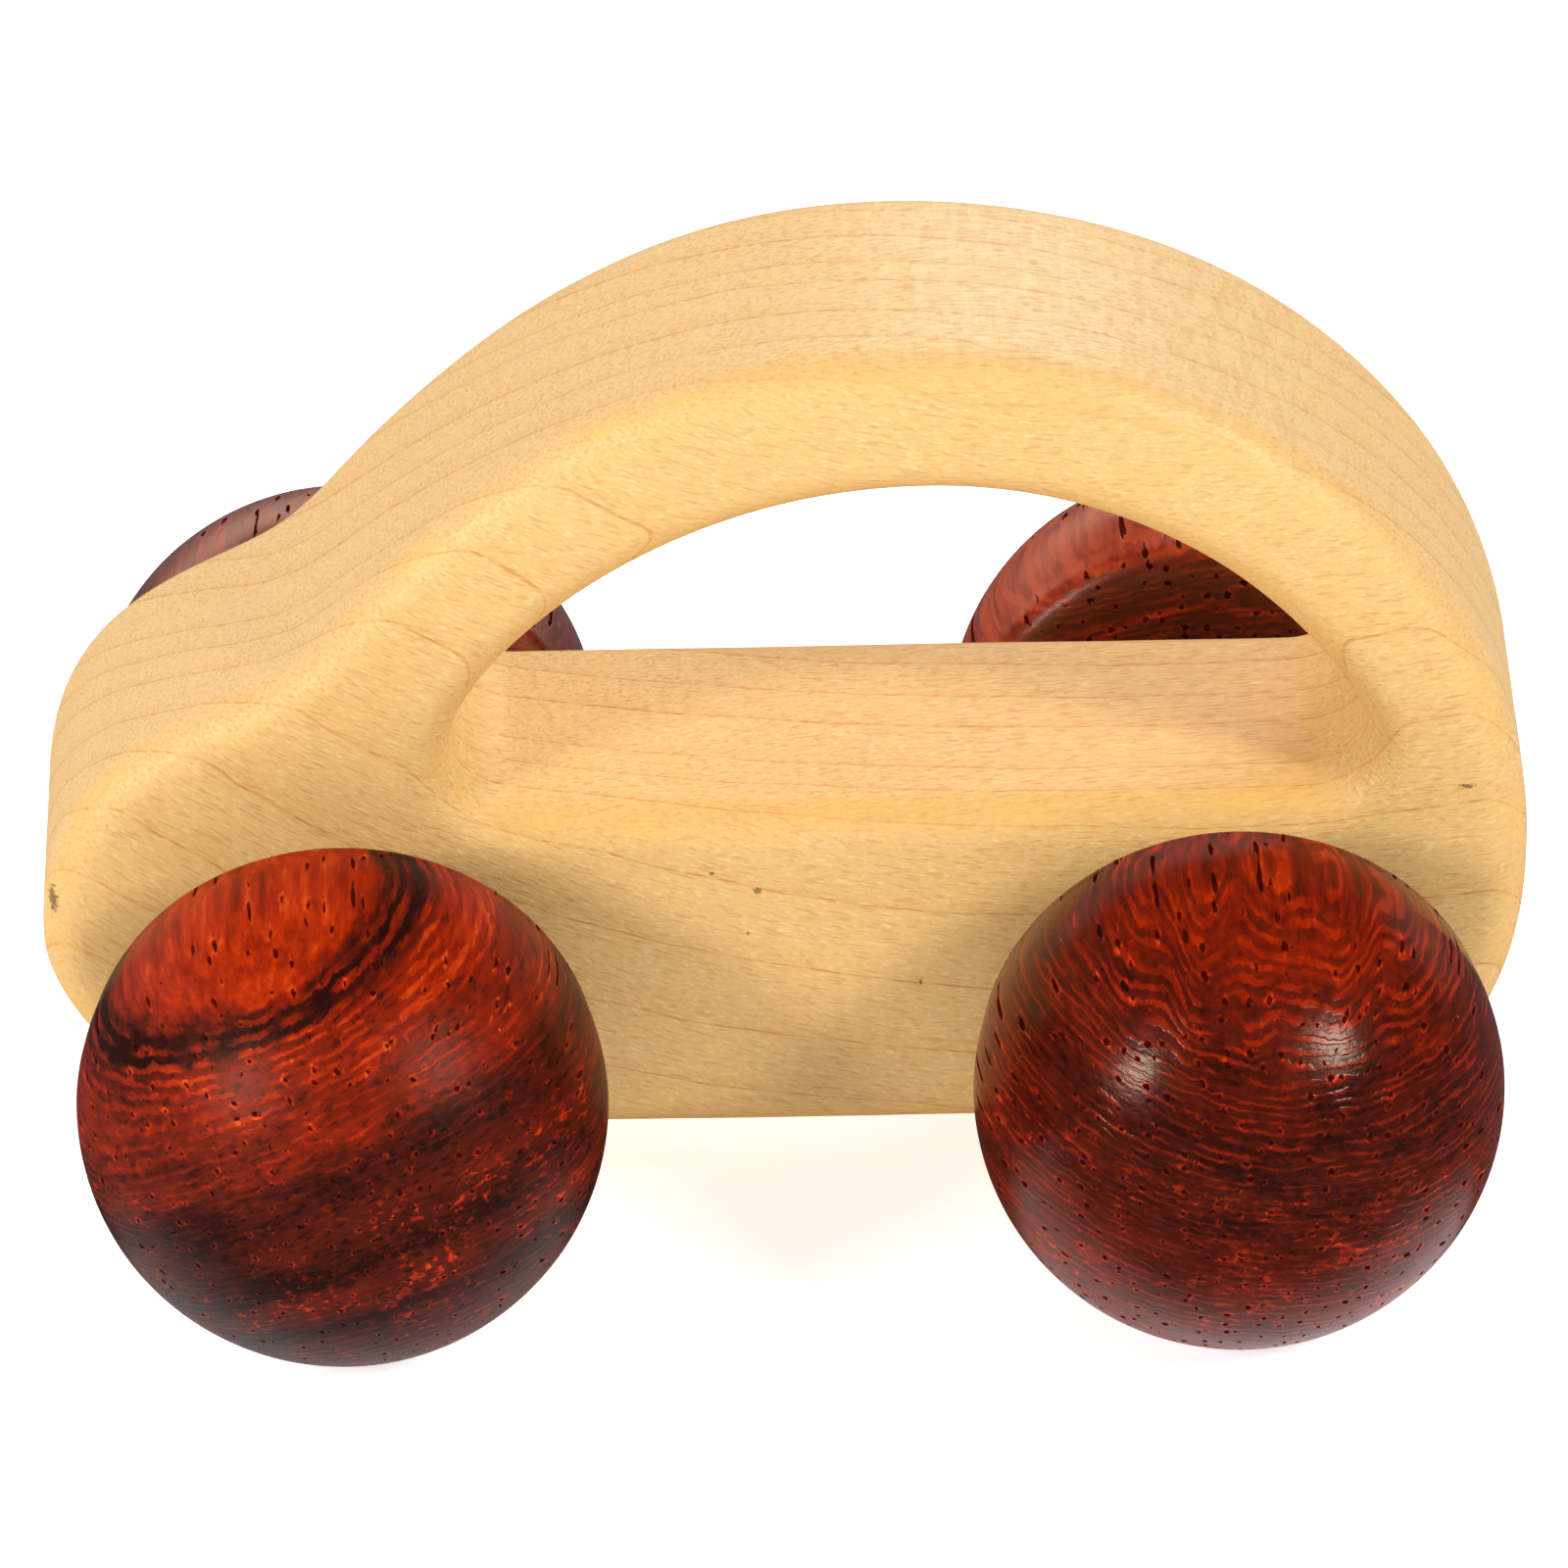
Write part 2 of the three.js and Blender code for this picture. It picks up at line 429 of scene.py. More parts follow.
def axle(node, body, material):
    """A dowel with chamfered ends."""
    low, high = frame_box(node)
    centre = (low + high) / 2
    radius = (high.z - low.z) / 2
    tip = radius - AXLE_CHAMFER
    half = high.y
    profile = [(tip, -half), (radius, AXLE_CHAMFER - half)]
    profile += [(radius, y) for y in np.linspace(DOWEL_END - half, half - DOWEL_END, 24)]
    profile += [(radius, half - AXLE_CHAMFER), (tip, half)]
    shell = Shell()
    rings = turned(shell, profile, centre, 1, DOWEL_SEGMENTS)
    shell.close(rings[0], (centre.x, -half, centre.z))
    shell.close(rings[-1], (centre.x, half, centre.z))
    made = shell.piece(node.replace("axle", "dowel"), material)
    stand_for(made, node, body)


def spacer(node, body, material):
    """A ring between the handle and a roller."""
    low, high = frame_box(node)
    centre = (low + high) / 2
    side = math.copysign(1, centre.y)
    near = min(abs(low.y), abs(high.y))
    far = max(abs(low.y), abs(high.y))
    radius = (high.z - low.z) / 2
    rim = radius - SPACER_CHAMFER
    bore = SPACER_BORE_RADIUS
    middle = bore + 1.2
    margin = 1.4
    profile = [(bore, near), (middle, near), (rim, near), (radius, near + SPACER_CHAMFER)]
    profile += [(radius, y) for y in np.linspace(near + margin, far - margin, 8)]
    profile += [(radius, far - SPACER_CHAMFER), (rim, far), (middle, far), (bore, far)]
    profile += [(bore, y) for y in np.linspace(far - 1, near + 1, 6)]
    shell = Shell()
    rings = turned(shell, profile, centre, side, DOWEL_SEGMENTS)
    shell.join(rings[-1], rings[0])
    made = shell.piece(node.replace("spacer", "ring"), material)
    stand_for(made, node, body)


# Materials: a small layer over shader nodes, so that a pattern reads as arithmetic


class Signal:
    """A number carried by a node socket. Arithmetic on it adds Math nodes."""

    def __init__(self, shader, socket):
        self.shader = shader
        self.socket = socket

    def __add__(self, other):
        return self.shader.math("ADD", self, other)

    def __sub__(self, other):
        return self.shader.math("SUBTRACT", self, other)

    def __rsub__(self, other):
        return self.shader.math("SUBTRACT", other, self)

    def __mul__(self, other):
        return self.shader.math("MULTIPLY", self, other)

    def __truediv__(self, other):
        return self.shader.math("DIVIDE", self, other)

    def __pow__(self, other):
        return self.shader.math("POWER", self, other)

    __radd__ = __add__
    __rmul__ = __mul__


class Shader:
    """The node tree of a material or world, with short calls for what the woods need."""

    def __init__(self, owner):
        owner.use_nodes = True
        self.owner = owner
        self.nodes = owner.node_tree.nodes
        self.links = owner.node_tree.links
        self.nodes.clear()

    def node(self, kind, feeds=None, **settings):
        """A new node. feeds maps an input's name or number to a value or a Signal."""
        made = self.nodes.new(kind)
        for key, value in settings.items():
            setattr(made, key, value)
        for key, value in (feeds or {}).items():
            if isinstance(value, Signal):
                self.links.new(value.socket, made.inputs[key])
            else:
                made.inputs[key].default_value = value
        return made

    def math(self, operation, *values):
        made = self.node("ShaderNodeMath", dict(enumerate(values)), operation=operation)
        return Signal(self, made.outputs[0])

    def ramp(self, value, low, high):
        """A smooth step from 0 to 1 as value goes from low to high. High may be the smaller."""
        feeds = {0: value, 1: low, 2: high}
        made = self.node("ShaderNodeMapRange", feeds, interpolation_type="SMOOTHSTEP")
        return Signal(self, made.outputs[0])

    def point(self, x, y, z):
        made = self.node("ShaderNodeCombineXYZ", {0: x, 1: y, 2: z})
        return Signal(self, made.outputs[0])

    def place(self, centre=(0, 0, 0)):
        """x, y and z in millimetres from a centre, fixed to the piece."""
        coordinates = self.node("ShaderNodeTexCoord").outputs["Object"]
        parts = self.node("ShaderNodeSeparateXYZ", {0: Signal(self, coordinates)})
        return [Signal(self, out) / MM - c for out, c in zip(parts.outputs, centre)]

    def facing(self, axis):
        """How far the surface faces along an axis of the piece, -1 to 1."""
        coordinates = self.node("ShaderNodeTexCoord").outputs["Normal"]
        parts = self.node("ShaderNodeSeparateXYZ", {0: Signal(self, coordinates)})
        return Signal(self, parts.outputs["XYZ".index(axis)])

    def noise(self, point, size, detail=2.0, roughness=0.5):
        """Smooth noise around 0.5 with features about size long."""
        feeds = {"Vector": point, "Scale": 1 / size, "Detail": detail, "Roughness": roughness}
        made = self.node("ShaderNodeTexNoise", feeds)
        return Signal(self, made.outputs["Fac"])

    def cells(self, point, size, dimensions="3D"):
        """Scattered points about size apart: distance to the nearest, and its random number."""
        feeds = {"Vector": point, "Scale": 1 / size}
        made = self.node("ShaderNodeTexVoronoi", feeds, voronoi_dimensions=dimensions)
        chance = self.node("ShaderNodeSeparateColor", {0: Signal(self, made.outputs["Color"])})
        distance = Signal(self, made.outputs["Distance"]) * size
        return distance, Signal(self, chance.outputs[0])

    def mix(self, share, one, other, blend="MIX"):
        """A colour between one and other."""
        feeds = {0: share, 6: one, 7: other}
        made = self.node("ShaderNodeMix", feeds, data_type="RGBA", blend_type=blend)
        return Signal(self, made.outputs[2])

    def colours(self, value, stops):
        """A colour read off a scale, given as (value, colour) pairs from 0 to 1."""
        made = self.node("ShaderNodeValToRGB", {0: value})
        scale = made.color_ramp.elements
        for place, colour in stops[1:-1]:
            scale.new(place).color = colour
        scale[0].color = stops[0][1]
        scale[-1].color = stops[-1][1]
        return Signal(self, made.outputs[0])

    def profile(self, value, stops):
        """A number read off a line through (value, number) pairs."""
        low, high = stops[0][0], stops[-1][0]
        places = [((place - low) / (high - low), (n, n, n, 1.0)) for place, n in stops]
        return self.colours((value - low) / (high - low), places)

    def finish(self, colour, roughness, height, relief, **extra):
        """The surface: colour, roughness and a bump whose height of 1 stands relief mm proud."""
        bump = self.node("ShaderNodeBump", {"Height": height, "Distance": relief * MM})
        feeds = {"Base Color": colour, "Roughness": roughness}
        feeds["Normal"] = Signal(self, bump.outputs[0])
        feeds.update(extra)
        surface = self.node("ShaderNodeBsdfPrincipled", feeds)
        output = self.node("ShaderNodeOutputMaterial")
        self.links.new(surface.outputs[0], output.inputs["Surface"])
        return self.owner


def tone(red, green, blue):
    """A colour given as it looks on screen, 0 to 255, as the linear colour the nodes use."""
    shares = [channel / 255 for channel in (red, green, blue)]
    linear = [s / 12.92 if s <= 0.04045 else ((s + 0.055) / 1.055) ** 2.4 for s in shares]
    return (*linear, 1.0)


def pale_wood():
    """Maple: thin broken growth lines on cream, fine flecks along the grain."""
    s = Shader(bpy.data.materials.new("pale_wood"))
    x, y, z = s.place()
    facing = s.facing("Y")
    sideways = facing ** 2

    # Growth rings: shells round a pith far above and behind, bending along the board.
    bend = x * 0.126 - (x ** 2) * 0.0018
    broad = s.noise(s.point(x / 3, y, z), 30, 1.0) - 0.5
    ripple = s.noise(s.point(x / 2, y, z), 6, 1.0) - 0.5
    across = s.math("SQRT", (y - 75) ** 2 + (z - 92) ** 2)
    depth = across - bend + broad * 3.4 + ripple * 0.8
    phase = depth / 4.4 + s.noise(s.point(depth, 0, 0), 9, 0.0) * 1.2
    share = s.math("FRACT", phase)
    line = s.ramp(share, 0.93 + sideways * 0.03, 0.97) * s.ramp(share, 1.0, 0.985)
    late = s.ramp(share, 0.6, 0.97) * s.ramp(share, 1.0, 0.975)

    # Across the grain, which follows the growth lines over the sides.
    over = z + bend * 2
    side = y - x * 0.1
    dashes = s.ramp(s.noise(s.point(x / 3.5, side, over), 0.5, 1.0), 0.4, 0.6)
    left_brow = s.ramp(z, 71, 77) * s.ramp(y, -10, -13)
    line = line * (0.35 + dashes * 0.65) * (1 - left_brow * 0.8)

    # Fibres, flecks and vessels.
    clouds = s.noise(s.point(x / 2.5, side, over), 9, 2.0)
    streaks = s.ramp(s.noise(s.point(x / 10, side, over), 0.4, 3.0), 0.3, 0.7)
    grit = s.ramp(s.noise(s.point(x / 2, side, over), 0.26, 2.0), 0.3, 0.7)
    fleck = s.ramp(s.noise(s.point(x / 7, side, over), 0.28, 1.0), 0.56, 0.68)
    pale_fleck = s.ramp(s.noise(s.point(x / 4, side + 40, over), 0.26, 1.0), 0.56, 0.7)
    vessels = s.ramp(s.noise(s.point(x / 7, side, over - 30), 0.28, 1.0), 0.6, 0.68)
    vessels = vessels * (1 - sideways) * s.ramp(clouds, 0.4, 0.6)

    # Colours, from the ground up. The faces seen from above are painted paler, a painted sheen; the
    # window's floor is paler and yellower, and painted lighter towards the front over the arch's
    # shadow.
    body = s.mix(clouds, tone(222, 175, 104), tone(232, 189, 119))
    in_window = s.ramp(z, 50, 44) * s.ramp(s.math("ABSOLUTE", x - 10), 44, 38) * (1 - sideways)
    # Painted sheen: faces that look up are paler, the window's floor less so.
    body = s.mix((1 - sideways) * (0.4 - in_window * 0.36), body, tone(238, 200, 152))
    # The sill is painted lighter towards the front: painted light over the shadow of the arch.
    sill_with_painted_light = s.mix(s.ramp(x, 12, -20), tone(228, 186, 98), tone(244, 208, 116))
    body = s.mix(in_window * 0.5, body, sill_with_painted_light)
    body = s.mix(late * 0.28, body, tone(220, 164, 88))
    body = s.mix(streaks * 0.28, body, tone(210, 160, 91))
    body = s.mix(grit * 0.3, body, tone(240, 202, 138))
    body = s.mix(pale_fleck * 0.35, body, tone(250, 220, 160))
    body = s.mix(fleck * 0.4, body, tone(196, 140, 74))
    body = s.mix(vessels * 0.5, body, tone(200, 134, 62))
    body = s.mix(line * (0.7 + sideways * 0.06 + in_window * 0.04), body, tone(205, 136, 60))

    # Figure on the roof behind its top: pale blocks across the grain, the figure's own pattern with
    # its shimmer painted in as a painted sheen, and warm spots at the edges.
    figure = s.ramp(z, 66, 78) * s.ramp(x, -2, 14) * s.ramp(x, 56, 42) * (1 - sideways)
    painted_shimmer_blocks = s.ramp(s.noise(s.point(x, y / 4, z / 3), 0.9, 1.0), 0.44, 0.56)
    hairs = s.ramp(s.noise(s.point(x, y / 14, z / 14), 0.22, 1.0), 0.58, 0.7)
    spots = s.ramp(s.noise(s.point(x / 1.6, y, z), 0.42, 1.0), 0.58, 0.68)
    near_edge = s.ramp(s.math("ABSOLUTE", y), 5, 10)
    # Painted sheen: the figure's shimmer, as paler blocks.
    body = s.mix(figure * painted_shimmer_blocks * 0.2, body, tone(250, 222, 160))
    body = s.mix(figure * hairs * 0.15, body, tone(206, 150, 80))
    body = s.mix(figure * spots * near_edge * 0.5, body, tone(232, 168, 80))

    # Rounded edges are painted warmer and a little darker: painted light, the yellow glow of the lit
    # edges with painted shade over the extra light they catch. A few yellow patches lie about them,
    # partly painted light too.
    edge = sideways * (1 - sideways) * 4
    patches = s.ramp(s.noise(s.point(x / 2, y, z), 4, 2.0), 0.52, 0.66)
    # Painted light and shade on the rounded edges.
    body = s.mix(edge * 0.35, body, tone(228, 174, 90))
    body = s.mix(patches * (0.1 + edge * 0.2), body, tone(240, 190, 92))

    # Torn grain where the cutter turned the window's lower corners.
    corner = s.ramp(z, 58, 50) * s.ramp(z, 41, 43) * (1 - sideways)
    corner = corner * (s.ramp(x, -19, -24) * s.ramp(x, -33, -29) + s.ramp(x, 42, 47) * 0.6)
    chips = s.ramp(s.noise(s.point(x + z / 2, y, z / 2), 0.7, 2.0), 0.45, 0.7) * corner
    body = s.mix(chips * 0.4, body, tone(248, 216, 150))

    # Dark specks here and there, and the dents.
    speck_gap, speck_chance = s.cells(s.point(x, y, z), 11)
    specks = s.ramp(speck_gap, 0.3, 0.16) * s.ramp(speck_chance, 0.62, 0.63)
    ragged = s.noise(s.point(x, y, z), 0.3, 1.0) - 0.5
    for mark_x, mark_z, width, height in BLEMISHES:
        reach = s.math("SQRT", ((x - mark_x) / width) ** 2 + ((z - mark_z) / height) ** 2)
        specks = specks + s.ramp(reach + ragged * 2.4, 1.3, 0.6) * s.ramp(y, -8, -12)
    body = s.mix(specks * 0.75, body, tone(92, 66, 36))

    relief = grit * 0.25 + streaks * 0.25 - line * 0.4 - fleck * 0.3 - specks + chips * 2.5
    rough = 0.46 + streaks * 0.1 + fleck * 0.08 + chips * 0.2 - edge * 0.05
    return s.finish(body, rough, relief, 0.07)


# How the wood of each roller looks. red_wood says what the entries mean.
ROLLER_LOOKS = {
    "front_left": dict(
        tilt=24,
        bow=(0, 0.008, 12),
        crest=0.0,
        shade=0.16,
        mottle=0.38,
        speckles=0.55,
        flecks=0.2,
        side_grain=0.06,
        gloss=0.0,
        specular=0.13,
        dull_top=0.7,
        lacquer=0.0,
        seed=3.1,
        pore=0.75,
        lines=[
            (-24, 0.06), (3, 0.06), (8, 0.2), (15, 0.25), (16.4, 0.5), (18, 0.5), (19, 0.04),
            (24, 0.04),
        ],
        layers=[
            (-24, 0.22), (-11, 0.12), (-9, 0.06), (-6.5, 0.28), (-4.4, 0.2), (-3.6, 0.0),
            (-2.8, 0.1), (1, 0.25), (4, 0.12), (6, 0.12), (8.5, 0.46), (10.5, 0.38),
            (13, 0.54), (15.8, 0.42), (16.8, 0.0), (18.2, 0.02), (19.2, 0.64), (24, 0.68),
        ],
    ),
    "rear_left": dict(
        tilt=0,
        bow=(13, -0.006, 40),
        crest=4.5,
        shade=0.0,
        mottle=0.5,
        speckles=0.4,
        flecks=0.08,
        side_grain=0.14,
        gloss=1.0,
        specular=0.2,
        dull_top=0.8,
        lacquer=0.0,
        seed=11.7,
        pore=1.0,
        lines=[(-24, 0.18), (-3, 0.18), (4, 0.32), (14, 0.34), (20, 0.26), (24, 0.26)],
        layers=[(-24, 0.23), (-8, 0.22), (-2, 0.14), (5, 0.07), (12, 0.14), (18, 0.26), (24, 0.36)],
    ),
    "front_right": dict(
        tilt=-12,
        bow=(0, 0.004, 40),
        crest=1.0,
        shade=0.0,
        mottle=0.5,
        speckles=0.3,
        flecks=0.15,
        side_grain=0.0,
        gloss=0.6,
        specular=1.0,
        dull_top=0.0,
        lacquer=0.85,
        seed=23.9,
        pore=1.2,
        lines=[(-24, 0.1), (24, 0.1)],
        layers=[(-24, 0.3), (0, 0.3), (12, 0.44), (24, 0.6)],
    ),
    "rear_right": dict(
        tilt=8,
        bow=(0, 0.006, 40),
        crest=1.0,
        shade=0.0,
        mottle=0.5,
        speckles=0.3,
        flecks=0.15,
        side_grain=0.62,
        gloss=0.3,
        specular=0.85,
        dull_top=0.0,
        lacquer=0.3,
        seed=37.3,
        pore=1.3,
        lines=[(-24, 0.28), (24, 0.28)],
        layers=[(-24, 0.27), (0, 0.22), (13, 0.2), (18, 0.24), (24, 0.3)],
    ),
}


def red_wood(
    name, centre, tilt, bow, crest, shade, layers, lines, mottle, speckles, flecks, side_grain,
    pore, gloss, specular, dull_top, lacquer, seed
):
    """Padauk-like wood with its grain along the axle.

    centre is the middle of the roller in millimetres, and seed sets its own pattern.
    tilt leans the layers in degrees. bow bends them: where in x, how strongly, and up to which
    level. crest is how high they wave near the top, shade how much darker they are at the front.
    layers and lines list how bright the wood and its thin lines are at levels through it, as
    (level in mm, strength). mottle is the strength of the uneven tone, speckles that of the bright
    grains in the lower half, flecks that of the short dark marks. side_grain is how much brighter
    the surface along the axle is, pore the size of the pores. gloss is 1 for a well polished
    roller, specular how strongly it reflects, dull_top how much less it does so at its top, and
    lacquer the strength of the clear coat over it.
    """
    s = Shader(bpy.data.materials.new(name))
    x, y, z = s.place(centre)
    end_on = s.facing("Y") ** 2

    # Layers that lean, bend and wave.
    lean = math.radians(tilt)
    along = x * math.cos(lean) + z * math.sin(lean)
    level = z * math.cos(lean) - x * math.sin(lean)
    sway = s.noise(s.point(along / 2 + seed, y / 9, level), 7, 1.0) - 0.5
    waves = s.noise(s.point(along + seed, y / 5, level * 0.6), 2.0, 1.0) - 0.5
    jags = s.noise(s.point(along - seed, y / 5, level), 0.55, 1.0) - 0.5
    bend = (x - bow[0]) ** 2 * bow[1] * s.ramp(level, bow[2] + 3, bow[2] - 5)
    crests = s.noise(s.point(along + seed, y / 12, level / 3), 4.2, 0.0) - 0.5
    level = level + bend + sway * 1.4 + crests * s.ramp(level, 10, 18) * crest
    fine_level = level + waves * 0.7 + jags * 0.42

    # Thin bright lines that vary in width and fade in and out along their length.
    spread = s.noise(s.point(level, seed, 0), 3, 1.0)
    share = s.math("FRACT", fine_level / 0.85 + spread * 2)
    breadth = s.noise(s.point(along / 2, y / 9, level + seed), 1.2, 1.0) * 0.5
    breadth = breadth + s.ramp(level, 8, 18) * 0.15
    line = s.ramp(share, 0.02, 0.16) * s.ramp(share, breadth + 0.28, breadth + 0.08)
    presence = s.ramp(s.noise(s.point(along / 2, y / 9, level), 1.4, 2.0), 0.38, 0.62)
    line = line * (0.1 + presence * 0.9)

    # Pores: dark ragged holes that run on along the axle, with a bright trace beside each.
    shake = s.noise(s.point(x, y / 6, z), 0.5, 1.0) - 0.5
    spot = s.point(x + shake * 0.5, z - shake * 0.5, 0)
    gap, chance = s.cells(spot, 1.7, "2D")
    size = (0.1 + chance * 0.16) * pore
    broken = s.ramp(s.noise(s.point(x / 2, y / 5 + seed, z / 2), 1.0, 1.0), 0.42, 0.45)
    kept = s.ramp(chance, 0.15, 0.17) * broken
    pores = s.ramp(gap - size, 0.04, -0.04) * kept
    ragged = s.ramp(s.noise(s.point(x - seed, y / 4, z), 0.5, 1.0), 0.46, 0.6)
    collar = s.ramp(gap - size, 0.42, 0.05) * kept * ragged

    # Bright grains in the lower half, in patches.
    spots = s.ramp(s.noise(s.point(along / 1.5, y / 6, level + seed), 0.55, 2.0), 0.54, 0.68)
    spotted = s.ramp(s.noise(s.point(x + seed, y / 7, z), 5, 1.0), 0.4, 0.6)
    spotted = spotted * s.ramp(level, 5, -1)

    # Unevenness of tone, fibres along the axle, short dark marks and a turning mark inside.
    blotch = s.noise(s.point(along / 3 + seed, y / 9, level), 1.3, 3.0, 0.6) - 0.5
    patches = s.noise(s.point(along / 2 + seed, y / 7, level), 3.6, 2.0) - 0.5
    grain = s.noise(s.point(along / 2, y / 12, fine_level), 0.3, 2.0) - 0.5
    fibres = (s.noise(s.point(x + seed, y / 20, z), 0.9, 2.0) - 0.5) * (1 - end_on)
    marks = s.ramp(s.noise(s.point(along / 2.2, y / 6, level - seed), 0.5, 2.0), 0.54, 0.68)
    radius = s.math("SQRT", x ** 2 + z ** 2)
    ring = s.ramp(s.math("ABSOLUTE", radius - 16), 0.5, 0.1) * s.ramp(end_on, 0.9, 0.97)

    # How bright the wood is, 0 to 1. It is even and smooth near the top.
    value = s.profile(fine_level + blotch * mottle * 5.2, layers) + (1 - end_on) * side_grain
    calm = s.ramp(level, 16.5, 19.5)
    value = value + blotch * (1 - calm * 0.7) * mottle + patches * (0.45 - calm * 0.25)
    value = value - s.ramp(along, -4, -16) * shade
    value = value + grain * 0.3 + fibres * (0.5 + calm * 0.3) + ring * 0.2
    value = value + line * s.profile(level, lines) + spots * spotted * speckles
    value = value + collar * (0.35 - calm * 0.2)
    value = value - marks * flecks * (1 - calm)

    body = s.colours(value, [(0.0, tone(38, 10, 7)), (0.3, tone(84, 20, 8)), (0.6, tone(134, 29, 5)),
                             (0.8, tone(170, 43, 4)), (1.0, tone(204, 72, 18))])
    body = s.mix(pores * 0.88, body, tone(40, 5, 5))
    dust_gap, dust_chance = s.cells(s.point(x, y, z + seed), 3.7)
    dust = s.ramp(dust_gap, 0.13, 0.07) * s.ramp(dust_chance, 0.6, 0.62)
    body = s.mix(dust * 0.5, body, tone(214, 150, 130))

    relief = line * 0.2 + grain * 0.2 + blotch * 0.1 - pores + dust * 0.3
    rough = 0.4 - 0.19 * gloss + grain * 0.12 + patches * 0.08 + pores * 0.3
    shine = {
        "Specular IOR Level": (1 - pores) * (1 - s.ramp(z, 14, 20) * dull_top) * specular,
        "Specular Tint": (1.0, 0.72, 0.56, 1.0),
        "Coat Weight": (1 - pores) * lacquer,
        "Coat Roughness": 0.3,
    }
    return s.finish(body, rough, relief, 0.1, **shine)


def dowel_wood():
    """Birch dowel: straight fibres along the axle, end grain dots on the cut ends."""
    s = Shader(bpy.data.materials.new("dowel_wood"))
    x, y, z = s.place()
    fibres = s.noise(s.point(x, y / 16, z), 0.45, 3.0)
    clouds = s.noise(s.point(x, y / 4, z), 5, 2.0)
    share = s.math("FRACT", (x * 0.8 + z * 0.6 + clouds * 1.5) / 2.1)
    late = s.ramp(share, 0.5, 0.95) * s.ramp(share, 1.0, 0.96)
    body = s.mix(clouds, tone(206, 164, 106), tone(222, 184, 128))
    body = s.mix(s.ramp(fibres, 0.35, 0.7) * 0.5, body, tone(190, 142, 86))
    body = s.mix(late * 0.5, body, tone(178, 126, 70))
    end_grain = s.ramp(s.math("ABSOLUTE", s.facing("Y")), 0.7, 0.95)
    body = s.mix(end_grain * 0.4, body, tone(170, 122, 72))
    return s.finish(body, 0.5 + fibres * 0.2, fibres, 0.06)


# Pieces


def build():
    """The handle and both wheelsets."""
    handle(pale_wood())
    dowel = dowel_wood()
    for end in ("front", "rear"):
        body = end + "_wheelset"
        axle(end + "_axle", body, dowel)
        for side in ("left", "right"):
            corner = end + "_" + side
            node = corner + "_roller"
            low, high = frame_box(node)
            centre = ((low.x + high.x) / 2, 0, (low.z + high.z) / 2)
            wood = red_wood("red_wood_" + corner, centre, **ROLLER_LOOKS[corner])
            roller(node, body, wood)
            spacer(corner + "_spacer", body, dowel)


build()


# Studio


def look_at(thing, target):
    """Turns a lamp or camera to face a point."""
    thing.rotation_mode = "QUATERNION"
    thing.rotation_quaternion = (target - thing.location).to_track_quat("-Z", "Y")


def direction(azimuth, elevation):
    """A unit vector. Azimuth 0 points to -Y and 90 to +X; elevation is above the horizon."""
    a, e = math.radians(azimuth), math.radians(elevation)
    return Vector((math.sin(a) * math.cos(e), -math.cos(a) * math.cos(e), math.sin(e)))


def softbox(name, azimuth, elevation, width, power, reflected=True):
    """A square lamp that faces the object's middle. Its width is in metres, its power in watts."""
    lamp = bpy.data.lights.new(name, "AREA")
    lamp.shape = "SQUARE"
    lamp.size = width
    lamp.energy = power
    made = bpy.data.objects.new(name, lamp)
    bpy.context.scene.collection.objects.link(made)
    middle = (cad_box[0] + cad_box[1]) / 2
    made.location = middle + direction(azimuth, elevation) * LAMP_DISTANCE
    made.visible_camera = False
    made.visible_glossy = reflected
    look_at(made, middle)


def floor_paint():
    """White, and a little brighter to the camera. Reflections show it pale near the left rollers."""
    s = Shader(bpy.data.materials.new("floor_paint"))
    x, y, z = s.place()
    path = s.node("ShaderNodeLightPath")
    camera_ray = Signal(s, path.outputs["Is Camera Ray"])
    glossy_ray = Signal(s, path.outputs["Is Glossy Ray"])
    mottle = s.noise(s.point(x, y, z), 40, 2.0)
    pale = 0.8 + mottle * 0.04
    aside = s.ramp(s.math("ABSOLUTE", x), 95, 65)
    beside = s.ramp(y, -62, -46) * s.ramp(y, -22, -34) * aside
    mirrored = 0.08 + beside * 1.1
    grey = pale + (mirrored - pale) * glossy_ray
    colour = s.node("ShaderNodeCombineColor", {0: grey, 1: grey, 2: grey})
    far = s.ramp(s.math("SQRT", x ** 2 + y ** 2), 150, 600)
    # Painted glow: the floor glows white to the camera, and faintly to all rays but reflections,
    # which lights the object from below.
    glow = camera_ray * (0.7 + far * 0.3) + (1 - camera_ray) * (1 - glossy_ray) * 0.36
    extra = {"Emission Color": (1.0, 1.0, 1.0, 1.0), "Emission Strength": glow}
    return s.finish(Signal(s, colour.outputs[0]), 0.9, mottle, 0.01, **extra)


def floor():
    """A plain ground that reaches the horizon."""
    reach = FLOOR_REACH
    corners = [(-reach, -reach), (reach, -reach), (reach, reach), (-reach, reach)]
    mesh = bpy.data.meshes.new("floor")
    mesh.from_pydata([(x, y, FLOOR_LEVEL) for x, y in corners], [], [(0, 1, 2, 3)])
    mesh.materials.append(floor_paint())
    made = bpy.data.objects.new("floor", mesh)
    bpy.context.scene.collection.objects.link(made)


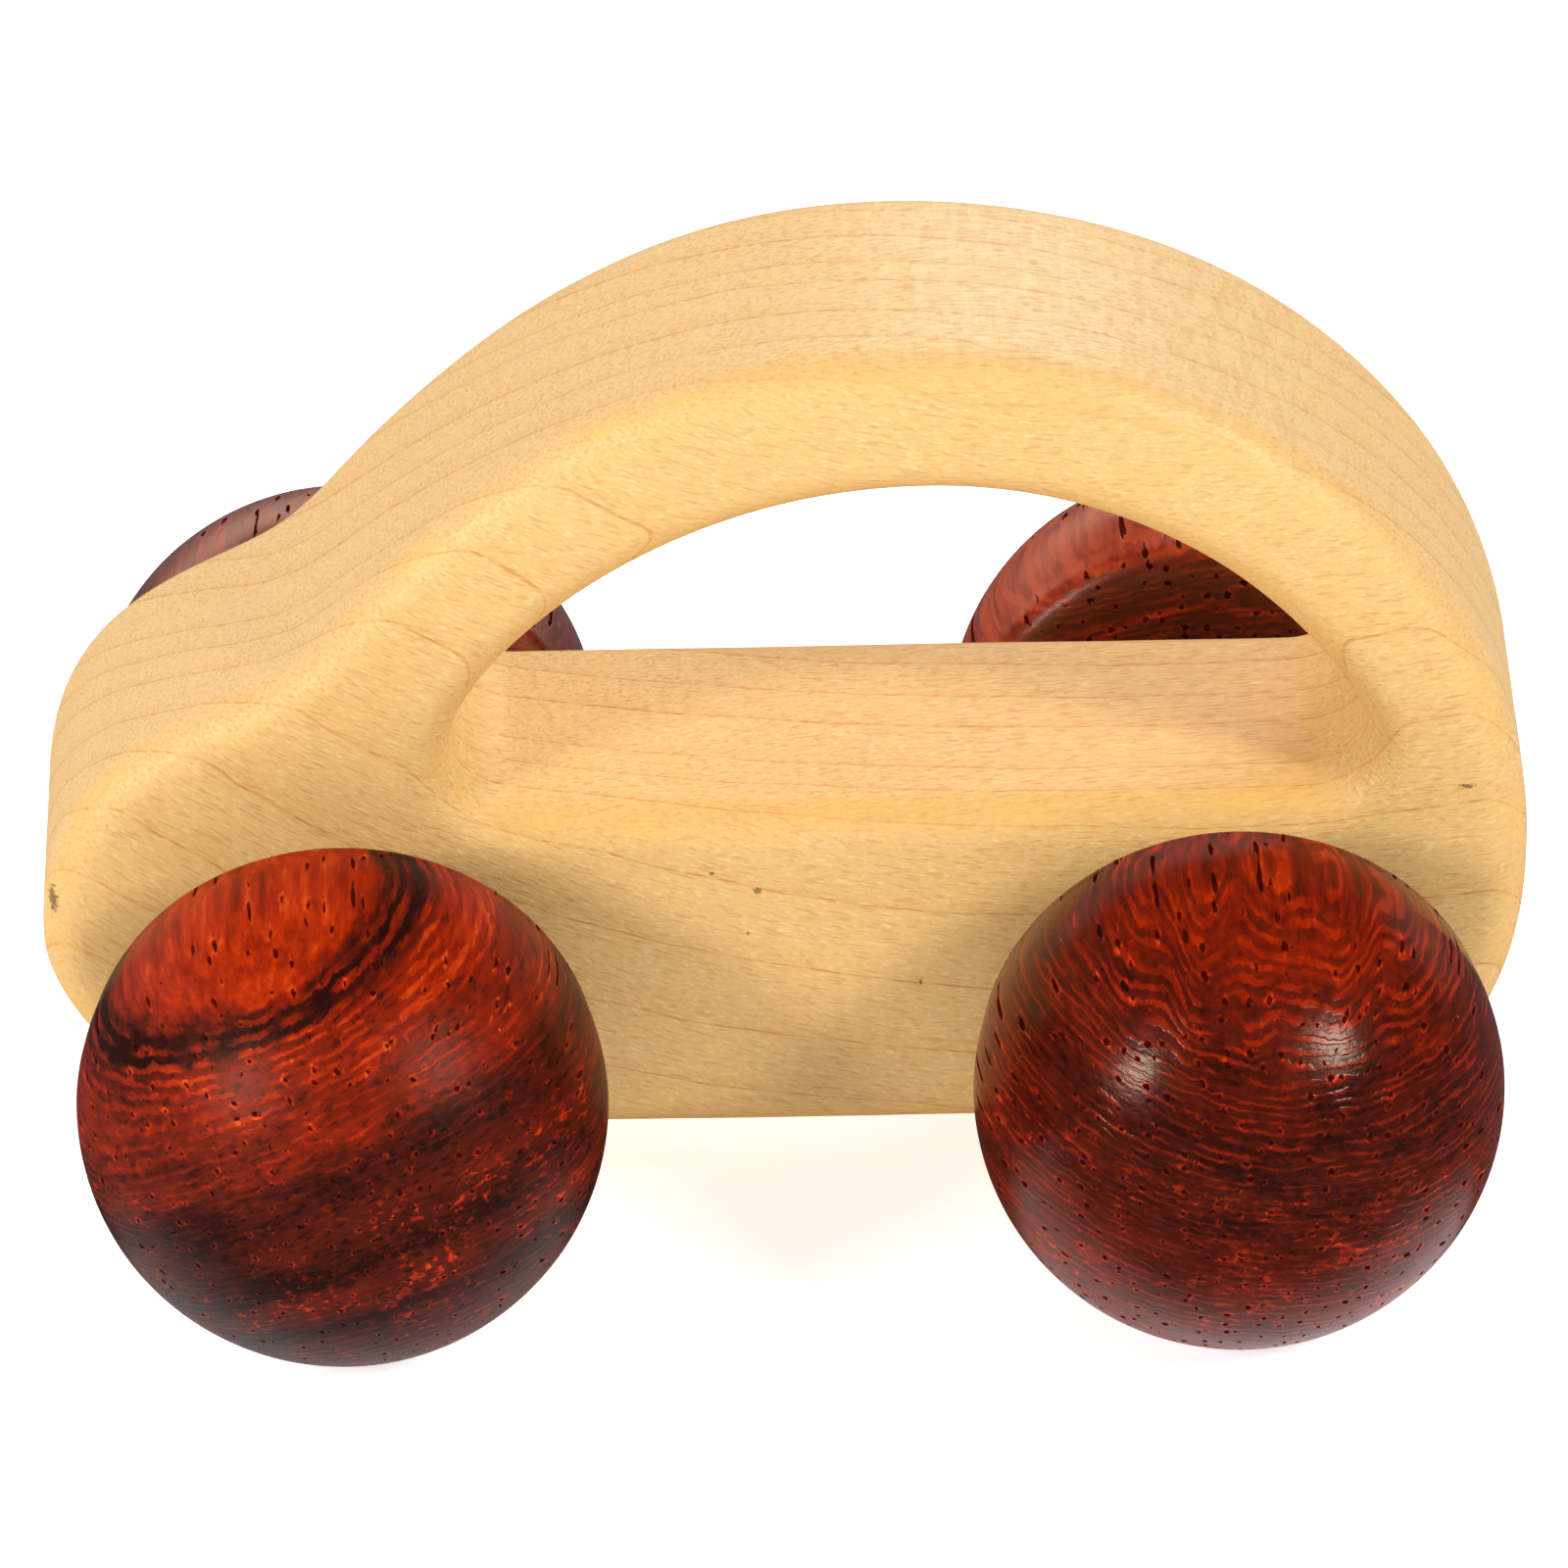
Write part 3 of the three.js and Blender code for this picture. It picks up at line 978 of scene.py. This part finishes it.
def surroundings():
    """White to the camera. It lights evenly, and reflections show a warm pale backdrop behind."""
    s = Shader(bpy.data.worlds.new("studio"))
    coordinates = s.node("ShaderNodeTexCoord").outputs["Generated"]
    parts = s.node("ShaderNodeSeparateXYZ", {0: Signal(s, coordinates)})
    behind = s.ramp(Signal(s, parts.outputs["Y"]), 0.3, 0.85)
    height = Signal(s, parts.outputs["Z"])
    low = s.ramp(height, 0.52, 0.38) * (0.5 + s.ramp(height, 0.12, 0.26) * 0.5)
    path = s.node("ShaderNodeLightPath")
    camera_ray = Signal(s, path.outputs["Is Camera Ray"])
    glossy_ray = Signal(s, path.outputs["Is Glossy Ray"])
    front = 0.35 - glossy_ray * 0.33
    backdrop = behind * (1 - glossy_ray * (1 - low))
    level = front + backdrop * (1.12 + glossy_ray * 0.18 - front)
    strength = level + camera_ray * (1 - level)
    colour = s.mix(glossy_ray, (1.0, 1.0, 1.0, 1.0), (1.0, 0.84, 0.66, 1.0))
    background = s.node("ShaderNodeBackground", {"Color": colour, "Strength": strength})
    output = s.node("ShaderNodeOutputWorld")
    s.links.new(background.outputs[0], output.inputs["Surface"])
    bpy.context.scene.world = s.owner


def camera():
    """The photograph's viewpoint, aimed at a point just above the middle of the axles."""
    lens = bpy.data.cameras.new("camera")
    lens.lens = CAMERA_LENS
    made = bpy.data.objects.new("camera", lens)
    bpy.context.scene.collection.objects.link(made)
    front, rear = frame_box("front_axle"), frame_box("rear_axle")
    axles = (front[0] + front[1] + rear[0] + rear[1]) / 4
    aim = Vector((CAMERA_BEHIND_MIDDLE, 0, CAMERA_ABOVE_AXLES))
    target = (axles + aim) * MM
    made.location = target + direction(CAMERA_AZIMUTH, CAMERA_ELEVATION) * CAMERA_DISTANCE * MM
    look_at(made, target)
    made.rotation_quaternion @= Quaternion((0, 0, 1), math.radians(CAMERA_ROLL))
    bpy.context.scene.camera = made


floor()
surroundings()
softbox("left_softbox", azimuth=-49, elevation=25, width=0.18, power=4.25)
softbox("right_softbox", azimuth=49, elevation=34, width=0.2, power=4.65)
softbox("rear_softbox", azimuth=165, elevation=35, width=0.3, power=2.3)
softbox("left_fill", azimuth=-95, elevation=30, width=0.5, power=1.6, reflected=False)
camera()
bpy.context.scene.view_settings.view_transform = "Standard"
